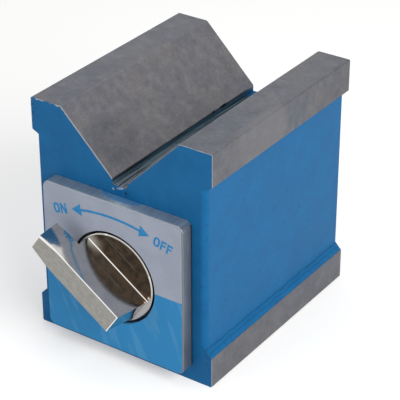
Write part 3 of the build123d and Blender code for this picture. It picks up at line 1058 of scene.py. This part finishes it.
# Knob
knob = {
    "edge": 0.18,
    "standsOut": 0.2,  # of the disc's face, in front of the plate
    "pointer": 145.5,  # degrees from +X, seen from the front
    "barHalf": 4.2,
    "tail": 11.83,  # from the axis to the bar's end
    "plating": rgb(0.58, 0.56, 0.53),
    "platingPale": rgb(0.63, 0.61, 0.58),
    "satin": rgb(0.250, 0.246, 0.230),  # of the bar's face
    "satinPale": rgb(0.310, 0.303, 0.284),
    "satinSkin": (0.10, 0.02),
    "crestHighlight": rgb(0.900, 0.885, 0.850),  # painted highlight on the bar's edges and on the fillet at its foot
    "crestSkin": (0.5, 0.35),
    "filletSkin": (-0.5, -0.4),
    "rim": rgb(0.48, 0.465, 0.43),
    "rimReach": (0.0, 0.1),
    "rimSkin": (-0.12, 0.0),
    "discSkin": (-0.12, -0.02),
    # painted reflection: the disc's middle is dark brown, a mirror of dark surroundings
    "dark": rgb(0.048, 0.037, 0.028),
    "darkWarm": rgb(0.088, 0.062, 0.041),
    "darkRadius": 13.33,
    "darkReach": (0.05, -0.25),
    "darkTail": (-0.1, 0.2),
    "copper": rgb(0.105, 0.064, 0.040),  # beside the bar
    "copperReach": (3.5, 0.5),
    "fineShare": 0.55,  # of the satin specks and scratches in the dark
    "glow": rgb(0.530, 0.505, 0.455),  # paler beside the neck
    "glowReach": (3.4, 0.3),
    "glowAlong": (6.0, 12.0),
    "scored": {"aside": 9.0, "reach": (0.16, 0.04), "ends": (-3.5, 9.8), "soft": 1.5, "share": 0.6},
    "glint": {"at": (12.4, 25.5), "thinShare": 0.75, "depth": 2.0},  # warm, at the bar's lower end
    "glintTones": [(0.75, rgb(0.720, 0.450, 0.240)), (0.42, rgb(1.000, 0.950, 0.880))],  # reach, colour
    "shaded": rgb(0.36, 0.345, 0.350),  # the disc past the tail
    "shadedTail": (0.3, 0.0),
    "footShadow": rgb(0.015, 0.015, 0.015),  # painted shadow: a faint dark line where the tail stands on the disc
    "footTails": [(0.1, 0.0), (-0.38, -0.22)],
    "footSkin": (-0.5, -0.35),
    "footSides": (0.2, -0.1),
    "footShare": 0.3,
}


def darkReflection(tree, place, bar, cloud, fine):  # the disc's middle, painted dark brown as a reflection of dark surroundings, with what shows on it
    brown = tint(tree, fade(tree, cloud, 0.4, 0.62), knob["dark"], knob["darkWarm"])
    beside = fadeFrom(tree, bar["aside"], knob["barHalf"], knob["copperReach"])
    beside = times(tree, beside, fade(tree, cloud, 0.35, 0.55), 0.6)
    brown = tint(tree, beside, brown, knob["copper"])
    brown = tint(tree, times(tree, fine, knob["fineShare"]), brown, knob["satin"])
    pale = fadeFrom(tree, bar["aside"], knob["barHalf"], knob["glowReach"])
    pale = times(tree, pale, fade(tree, bar["along"], *knob["glowAlong"]), 0.9)
    brown = tint(tree, pale, brown, knob["glow"])
    # One long scratch runs along the bar
    s = knob["scored"]
    scored = fade(tree, apart(tree, bar["aside"], s["aside"]), *s["reach"])
    for end, inwards in zip(s["ends"], (s["soft"], -s["soft"])):
        scored = times(tree, scored, fade(tree, bar["along"], end, end + inwards))
    brown = tint(tree, times(tree, scored, s["share"]), brown, knob["satin"])
    x, height = knob["glint"]["at"]
    for size, colour in knob["glintTones"]:
        reach = (knob["glint"]["thinShare"] * size, knob["glint"]["depth"], size)
        brown = tint(tree, mark(tree, place, (x, discFace, height), reach), brown, colour)
    return brown


def brightPlating(tree, y, bar, away, cloud, inDarkReflection):
    plain = tint(tree, fade(tree, cloud, 0.35, 0.65), knob["plating"], knob["platingPale"])
    # Painted highlight on the bar's edges and on the fillet at its foot
    crestHighlight = fadeFrom(tree, y, knobFace, knob["crestSkin"])
    filletHighlight = times(tree, fadeFrom(tree, y, discFace, knob["filletSkin"]), inDarkReflection)
    plain = tint(tree, calc(tree, "MAXIMUM", crestHighlight, filletHighlight), plain, knob["crestHighlight"])
    onDisc = fadeFrom(tree, y, discFace, knob["discSkin"])
    pastTail = fadeFrom(tree, bar["along"], -knob["tail"], knob["shadedTail"])
    plain = tint(tree, times(tree, onDisc, pastTail), plain, knob["shaded"])
    # Painted shadow where the tail stands on the disc
    footShadowMask = times(
        tree,
        *(fadeFrom(tree, bar["along"], -knob["tail"], pair) for pair in knob["footTails"]),
        fadeFrom(tree, y, discFace, knob["footSkin"]),
        fadeFrom(tree, bar["aside"], knob["barHalf"], knob["footSides"]),
        knob["footShare"],
    )
    plain = tint(tree, footShadowMask, plain, knob["footShadow"])
    rim = times(
        tree, fadeFrom(tree, away, knob["darkRadius"], knob["rimReach"]),
        fadeFrom(tree, y, discFace, knob["rimSkin"]),
    )
    return tint(tree, rim, plain, knob["rim"])


def knobMaterial():
    made, tree = newMaterial("knobPlating")
    here = whereIs(tree)
    place, y = here["place"], here["y"]
    turned = turnedBy(tree, place, knob["pointer"], (0, 0, axisHeight))
    lengthways, _, sideways = split(tree, turned)
    bar = {"along": lengthways, "aside": apart(tree, sideways, axisHeight)}
    away = radius(tree, here["x"], here["z"])
    scratch = use(tree, scratches, Place=turned, Amount=0.58)["Mask"]
    speck = fade(tree, noise(tree, place, 3.2, 3.0, 0.7), 0.56, 0.75)
    cloud = noise(tree, place, 0.45, 4.0, 0.65)
    fine = calc(tree, "MAXIMUM", scratch, times(tree, speck, 0.6))

    # Painted reflection: the disc's middle is dark
    inDarkReflection = fadeFrom(tree, away, knob["darkRadius"], knob["darkReach"])
    dark = times(
        tree, inDarkReflection, fadeFrom(tree, y, discFace, knob["discSkin"]),
        fadeFrom(tree, bar["along"], -knob["tail"], knob["darkTail"]),
    )
    satin = fadeFrom(tree, y, knobFace, knob["satinSkin"])
    brushed = noise(tree, stretched(tree, turned, (0.5, 1.4, 1.4)), 1.0, 4.0, 0.7)
    matt = tint(tree, fade(tree, brushed, 0.38, 0.62), knob["satin"], knob["satinPale"])
    plated = tint(tree, satin, brightPlating(tree, y, bar, away, cloud, inDarkReflection), matt)
    rough = calc(tree, "ADD", between(tree, satin, 0.10, 0.34), times(tree, dark, 0.10))
    height = calc(tree, "ADD", speck, scratch)
    surface(tree, {
        "Base Color": tint(tree, dark, plated, darkReflection(tree, place, bar, cloud, fine)),
        "Metallic": 1.0,
        "Roughness": rough,
        "Normal": bumped(tree, height, between(tree, satin, 0.015, 0.12), 0.03),
    })
    return made


discFace = plateFace - knob["standsOut"]
dress("knob", "knobFinished", knobMaterial(), knob["edge"])
print("knob finished")
